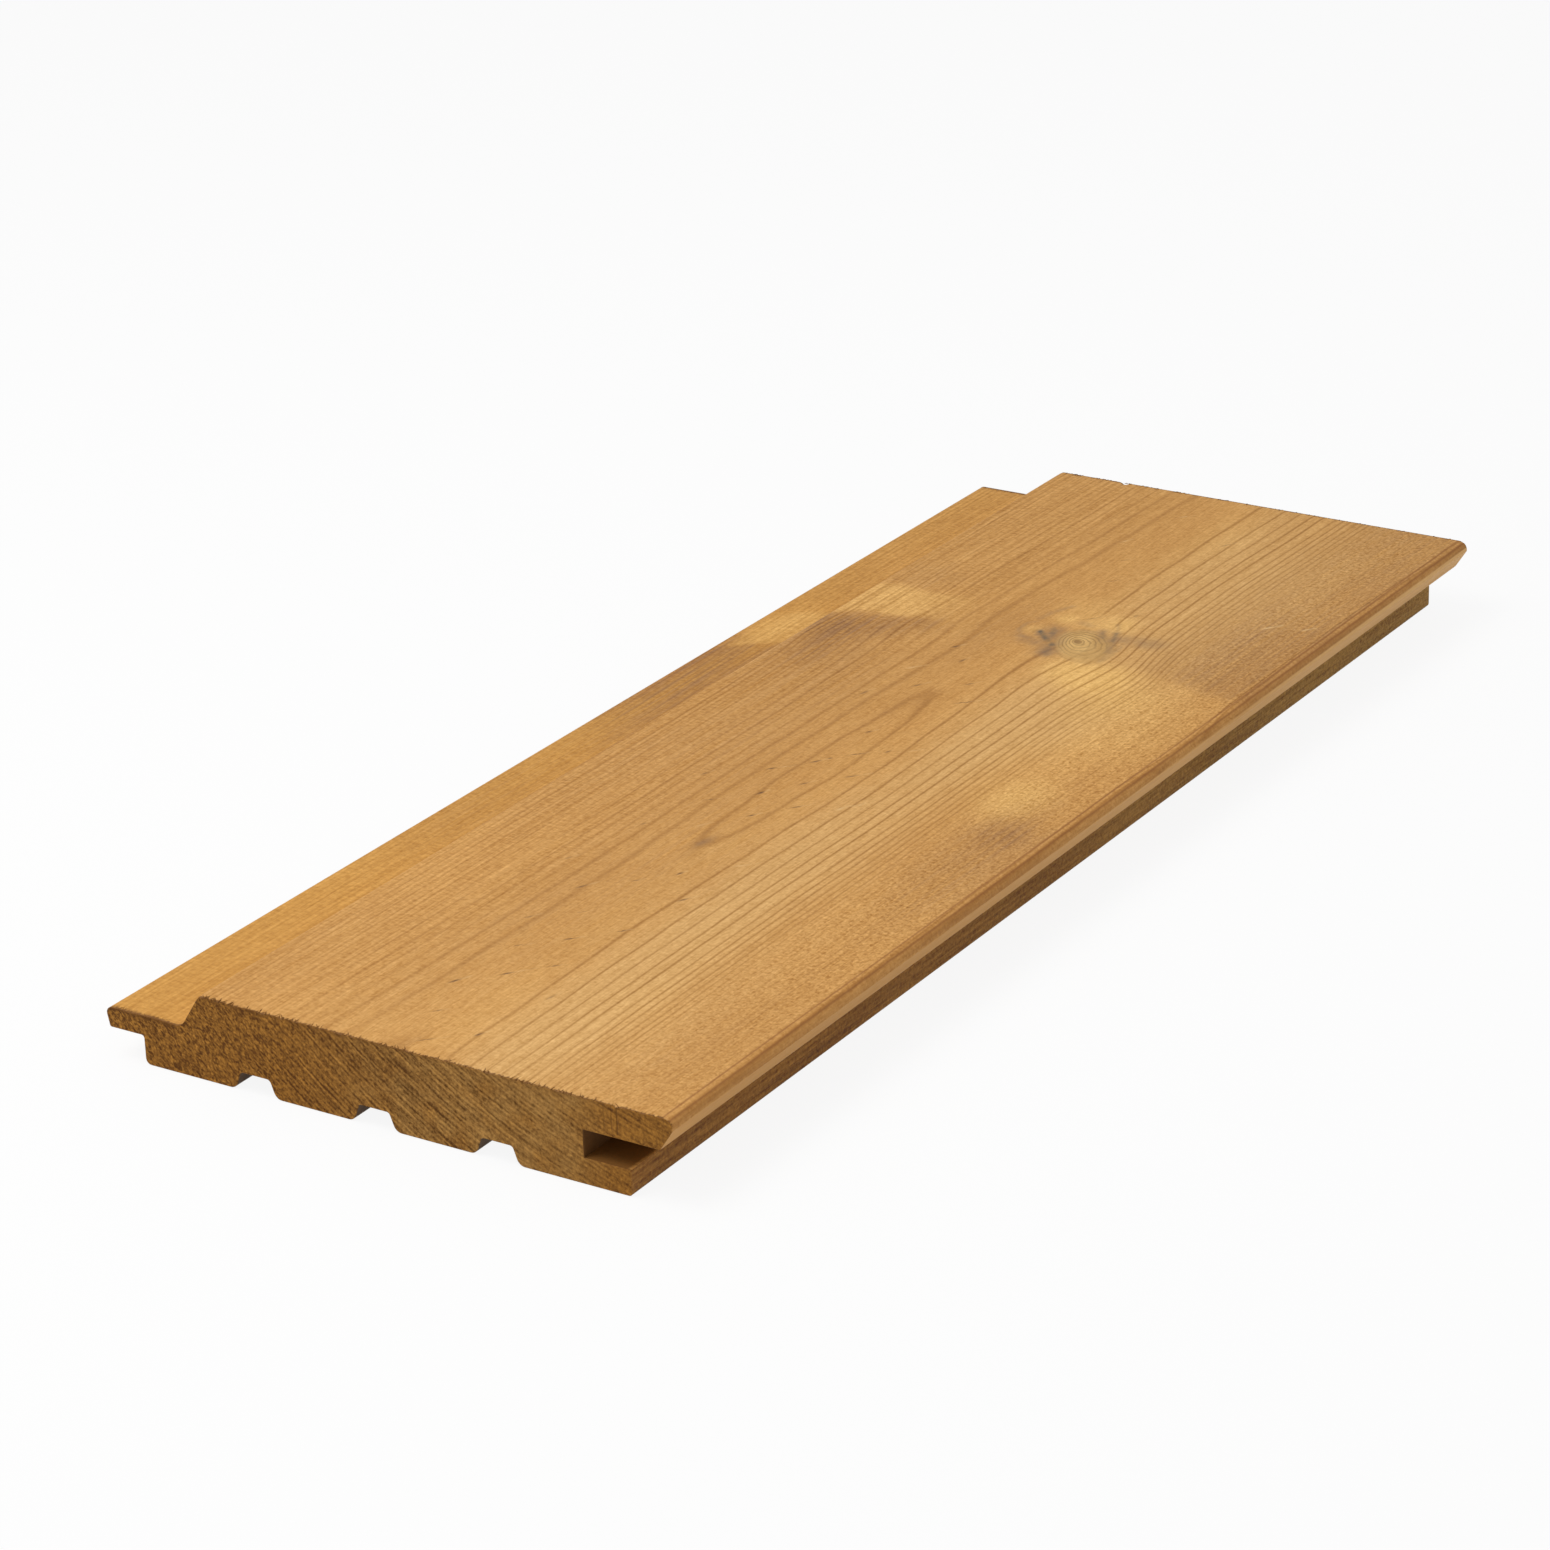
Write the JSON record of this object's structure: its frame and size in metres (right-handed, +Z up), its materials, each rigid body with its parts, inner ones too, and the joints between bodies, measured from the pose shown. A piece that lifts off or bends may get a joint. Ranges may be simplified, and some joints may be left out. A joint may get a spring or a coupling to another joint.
{
  "type": "chamfered thermowood board",
  "caption": "Heat-treated softwood cladding board with a tongue, a sloped shoulder, an undercut nose, a slot and a relief-grooved back.",
  "frame": {"origin": "centre of the board's footprint, at the height of its flat back", "axes": "+X across the board from the tongue to the nose, +Y along the grain, +Z up out of the face"},
  "size_m": [0.14, 0.36, 0.019],
  "materials": {
    "thermowood": "planed, unfinished heat-treated softwood, golden brown, with darker sawn ends"
  },
  "bodies": {
    "root": {"cladding_board": "thermowood"}
  },
  "joints": []
}
